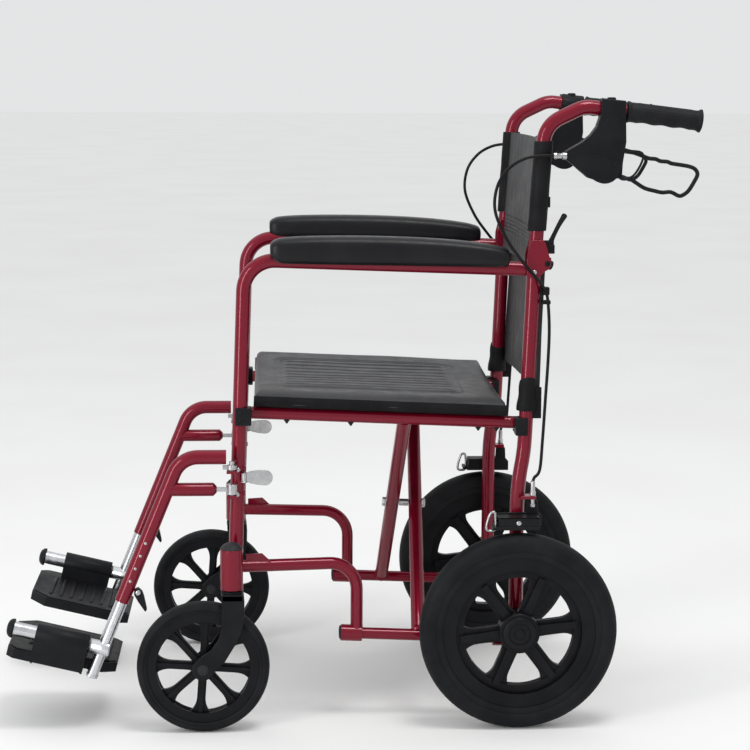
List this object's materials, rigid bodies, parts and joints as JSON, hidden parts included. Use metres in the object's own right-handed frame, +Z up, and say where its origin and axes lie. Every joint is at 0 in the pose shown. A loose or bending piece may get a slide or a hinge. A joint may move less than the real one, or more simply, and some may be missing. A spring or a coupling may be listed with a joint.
{
  "type": "folding transport wheelchair",
  "caption": "Folding transport wheelchair with padded seat and back, swing-away footrests, front casters, rear wheels and hand brakes on the push handles.",
  "frame": {"origin": "on the ground under the centre of the chair", "axes": "+X the chair's left, -Y forward, +Z up"},
  "size_m": [0.553, 1.0498, 0.9594],
  "materials": {
    "red_paint": "gloss",
    "black_plastic": "satin",
    "tyre_rubber": "matt",
    "bare_steel": "bright",
    "black_vinyl": "coated woven",
    "black_foam": "matt foam"
  },
  "bodies": {
    "frame_left": {"front_frame_tube_left": "red_paint", "lower_side_tube_left": "red_paint", "back_post_left": "red_paint", "arm_pad_left": "black_foam", "seat_saddle_front_left": "black_plastic", "seat_saddle_rear_left": "black_plastic", "fold_bracket_left": "red_paint", "brake_bracket_left": "black_plastic", "cable_lower_left": "black_plastic", "back_lower": "black_vinyl"},
    "rear_wheel_left": {"rear_rim_left": "black_plastic", "rear_tyre_left": "tyre_rubber"},
    "caster_fork_left": {"caster_fork_left": "black_plastic"},
    "caster_wheel_left": {"caster_rim_left": "black_plastic", "caster_tyre_left": "tyre_rubber"},
    "hanger_left": {"hanger_left": "red_paint"},
    "hanger_latch_left": {"hanger_latch_left": "black_plastic"},
    "footrest_left": {"footrest_extension_left": "bare_steel"},
    "footplate_left": {"footplate_left": "black_plastic"},
    "length_lever_left": {"length_lever_left": "black_plastic"},
    "back_left": {"back_cane_left": "red_paint", "grip_left": "black_foam", "brake_housing_left": "black_plastic", "cable_upper_left": "black_plastic", "back_upper": "black_vinyl"},
    "brake_lever_left": {"brake_lever_left": "black_plastic"},
    "parking_link_left": {"parking_link_left": "black_plastic"},
    "back_release_left": {"back_release_left": "black_plastic"},
    "brake_arm_left": {"brake_arm_left": "black_plastic"},
    "frame_right": {"front_frame_tube_right": "red_paint", "lower_side_tube_right": "red_paint", "back_post_right": "red_paint", "arm_pad_right": "black_foam", "seat_saddle_front_right": "black_plastic", "seat_saddle_rear_right": "black_plastic", "fold_bracket_right": "red_paint", "brake_bracket_right": "black_plastic", "cable_lower_right": "black_plastic"},
    "rear_wheel_right": {"rear_rim_right": "black_plastic", "rear_tyre_right": "tyre_rubber"},
    "caster_fork_right": {"caster_fork_right": "black_plastic"},
    "caster_wheel_right": {"caster_rim_right": "black_plastic", "caster_tyre_right": "tyre_rubber"},
    "hanger_right": {"hanger_right": "red_paint"},
    "hanger_latch_right": {"hanger_latch_right": "black_plastic"},
    "footrest_right": {"footrest_extension_right": "bare_steel"},
    "footplate_right": {"footplate_right": "black_plastic"},
    "length_lever_right": {"length_lever_right": "black_plastic"},
    "back_right": {"back_cane_right": "red_paint", "grip_right": "black_foam", "brake_housing_right": "black_plastic", "cable_upper_right": "black_plastic"},
    "brake_lever_right": {"brake_lever_right": "black_plastic"},
    "parking_link_right": {"parking_link_right": "black_plastic"},
    "back_release_right": {"back_release_right": "black_plastic"},
    "brake_arm_right": {"brake_arm_right": "black_plastic"},
    "brace_a": {"cross_brace_a": "red_paint", "centre_bolt": "bare_steel", "seat_sling": "black_vinyl"},
    "brace_b": {"cross_brace_b": "red_paint"}
  },
  "joints": [
    {"name": "fold", "type": "hinge", "parent": "frame_left", "child": "brace_a", "pos_m": [0.192, 0.11052, 0.13025], "axis": [0, 0.9991, -0.0419], "range_deg": [0, 38.5], "deforming": ["seat_sling", "back_upper", "back_lower"]},
    {"name": "brace_centre", "type": "hinge", "parent": "brace_a", "child": "brace_b", "pos_m": [0, 0.09891, 0.30098], "axis": [0, 0.9991, -0.0419], "range_deg": [-77, 0]},
    {"name": "fold_far_foot", "type": "hinge", "parent": "brace_b", "child": "frame_right", "pos_m": [-0.192, 0.07306, 0.13182], "axis": [0, 0.9991, -0.0419], "range_deg": [0, 38.5]},
    {"name": "rear_wheel_spin_left", "type": "hinge", "parent": "frame_left", "child": "rear_wheel_left", "pos_m": [0.25, 0.2594, 0.15154], "axis": [1, 0, 0], "continuous": true},
    {"name": "caster_swivel_left", "type": "hinge", "parent": "frame_left", "child": "caster_fork_left", "pos_m": [0.253, -0.1776, 0.25], "axis": [0, 0, 1], "continuous": true},
    {"name": "caster_spin_left", "type": "hinge", "parent": "caster_fork_left", "child": "caster_wheel_left", "pos_m": [0.253, -0.2213, 0.10086], "axis": [1, 0, 0], "continuous": true},
    {"name": "hanger_swing_left", "type": "hinge", "parent": "frame_left", "child": "hanger_left", "pos_m": [0.238, -0.1766, 0.3716], "axis": [0, 0, 1], "range_deg": [0, 90]},
    {"name": "hanger_latch_swing_left", "type": "hinge", "parent": "frame_left", "child": "hanger_latch_left", "pos_m": [0.23, -0.1581, 0.3885], "axis": [0, 0, 1], "range_deg": [-15, 15], "stiffness_Nm_per_rad": 0.05},
    {"name": "footrest_slide_left", "type": "slide", "parent": "hanger_left", "child": "footrest_left", "axis": [0, 0.3778, 0.9259], "range_m": [-0.02, 0.05]},
    {"name": "footplate_flip_left", "type": "hinge", "parent": "footrest_left", "child": "footplate_left", "pos_m": [0.238, -0.3743, 0.1262], "axis": [0, 0.972, -0.2351], "range_deg": [0, 90]},
    {"name": "length_lever_turn_left", "type": "hinge", "parent": "hanger_left", "child": "length_lever_left", "pos_m": [0.238, -0.3194, 0.214], "axis": [1, 0, 0], "range_deg": [0, 70]},
    {"name": "back_fold_left", "type": "hinge", "parent": "frame_left", "child": "back_left", "pos_m": [0.213, 0.2991, 0.712], "axis": [-1, 0, 0], "range_deg": [0, 110], "deforming": ["cable_upper_left"]},
    {"name": "brake_lever_pull_left", "type": "hinge", "parent": "back_left", "child": "brake_lever_left", "pos_m": [0.2215, 0.4034, 0.861], "axis": [1, 0, 0], "range_deg": [0, 20], "stiffness_Nm_per_rad": 0.5},
    {"name": "parking_link_turn_left", "type": "hinge", "parent": "back_left", "child": "parking_link_left", "pos_m": [0.2277, 0.4034, 0.861], "axis": [1, 0, 0], "range_deg": [0, 20]},
    {"name": "back_release_turn_left", "type": "hinge", "parent": "back_left", "child": "back_release_left", "pos_m": [0.213, 0.3039, 0.726], "axis": [-1, 0, 0], "range_deg": [0, 15], "stiffness_Nm_per_rad": 0.1},
    {"name": "brake_arm_press_left", "type": "hinge", "parent": "frame_left", "child": "brake_arm_left", "pos_m": [0.232, 0.2294, 0.321], "axis": [-1, 0, 0], "range_deg": [0, 4]},
    {"name": "rear_wheel_spin_right", "type": "hinge", "parent": "frame_right", "child": "rear_wheel_right", "pos_m": [-0.25, 0.2594, 0.15154], "axis": [1, 0, 0], "continuous": true},
    {"name": "caster_swivel_right", "type": "hinge", "parent": "frame_right", "child": "caster_fork_right", "pos_m": [-0.253, -0.1776, 0.25], "axis": [0, 0, 1], "continuous": true},
    {"name": "caster_spin_right", "type": "hinge", "parent": "caster_fork_right", "child": "caster_wheel_right", "pos_m": [-0.253, -0.2213, 0.10086], "axis": [1, 0, 0], "continuous": true},
    {"name": "hanger_swing_right", "type": "hinge", "parent": "frame_right", "child": "hanger_right", "pos_m": [-0.238, -0.1766, 0.3716], "axis": [0, 0, -1], "range_deg": [0, 90]},
    {"name": "hanger_latch_swing_right", "type": "hinge", "parent": "frame_right", "child": "hanger_latch_right", "pos_m": [-0.23, -0.1581, 0.3885], "axis": [0, 0, -1], "range_deg": [-15, 15], "stiffness_Nm_per_rad": 0.05},
    {"name": "footrest_slide_right", "type": "slide", "parent": "hanger_right", "child": "footrest_right", "axis": [0, 0.3778, 0.9259], "range_m": [-0.02, 0.05]},
    {"name": "footplate_flip_right", "type": "hinge", "parent": "footrest_right", "child": "footplate_right", "pos_m": [-0.238, -0.3743, 0.1262], "axis": [0, -0.972, 0.2351], "range_deg": [0, 90]},
    {"name": "length_lever_turn_right", "type": "hinge", "parent": "hanger_right", "child": "length_lever_right", "pos_m": [-0.238, -0.3194, 0.214], "axis": [1, 0, 0], "range_deg": [0, 70]},
    {"name": "back_fold_right", "type": "hinge", "parent": "frame_right", "child": "back_right", "pos_m": [-0.213, 0.2991, 0.712], "axis": [-1, 0, 0], "range_deg": [0, 110], "deforming": ["cable_upper_right"]},
    {"name": "brake_lever_pull_right", "type": "hinge", "parent": "back_right", "child": "brake_lever_right", "pos_m": [-0.2215, 0.4034, 0.861], "axis": [1, 0, 0], "range_deg": [0, 20], "stiffness_Nm_per_rad": 0.5},
    {"name": "parking_link_turn_right", "type": "hinge", "parent": "back_right", "child": "parking_link_right", "pos_m": [-0.2277, 0.4034, 0.861], "axis": [1, 0, 0], "range_deg": [0, 20]},
    {"name": "back_release_turn_right", "type": "hinge", "parent": "back_right", "child": "back_release_right", "pos_m": [-0.213, 0.3039, 0.726], "axis": [-1, 0, 0], "range_deg": [0, 15], "stiffness_Nm_per_rad": 0.1},
    {"name": "brake_arm_press_right", "type": "hinge", "parent": "frame_right", "child": "brake_arm_right", "pos_m": [-0.232, 0.2294, 0.321], "axis": [-1, 0, 0], "range_deg": [0, 4]}
  ],
  "couplings": [
    {"joint": "brace_centre", "follows": "fold", "ratio": -2},
    {"joint": "fold_far_foot", "follows": "fold", "ratio": 1},
    {"joint": "footplate_flip_left", "follows": "fold", "ratio": 2.3376},
    {"joint": "brake_arm_press_left", "follows": "brake_lever_pull_left", "ratio": 0.2},
    {"joint": "footplate_flip_right", "follows": "fold", "ratio": 2.3376},
    {"joint": "brake_arm_press_right", "follows": "brake_lever_pull_right", "ratio": 0.2},
    {"joint": "back_fold_right", "follows": "back_fold_left", "ratio": 1}
  ]
}
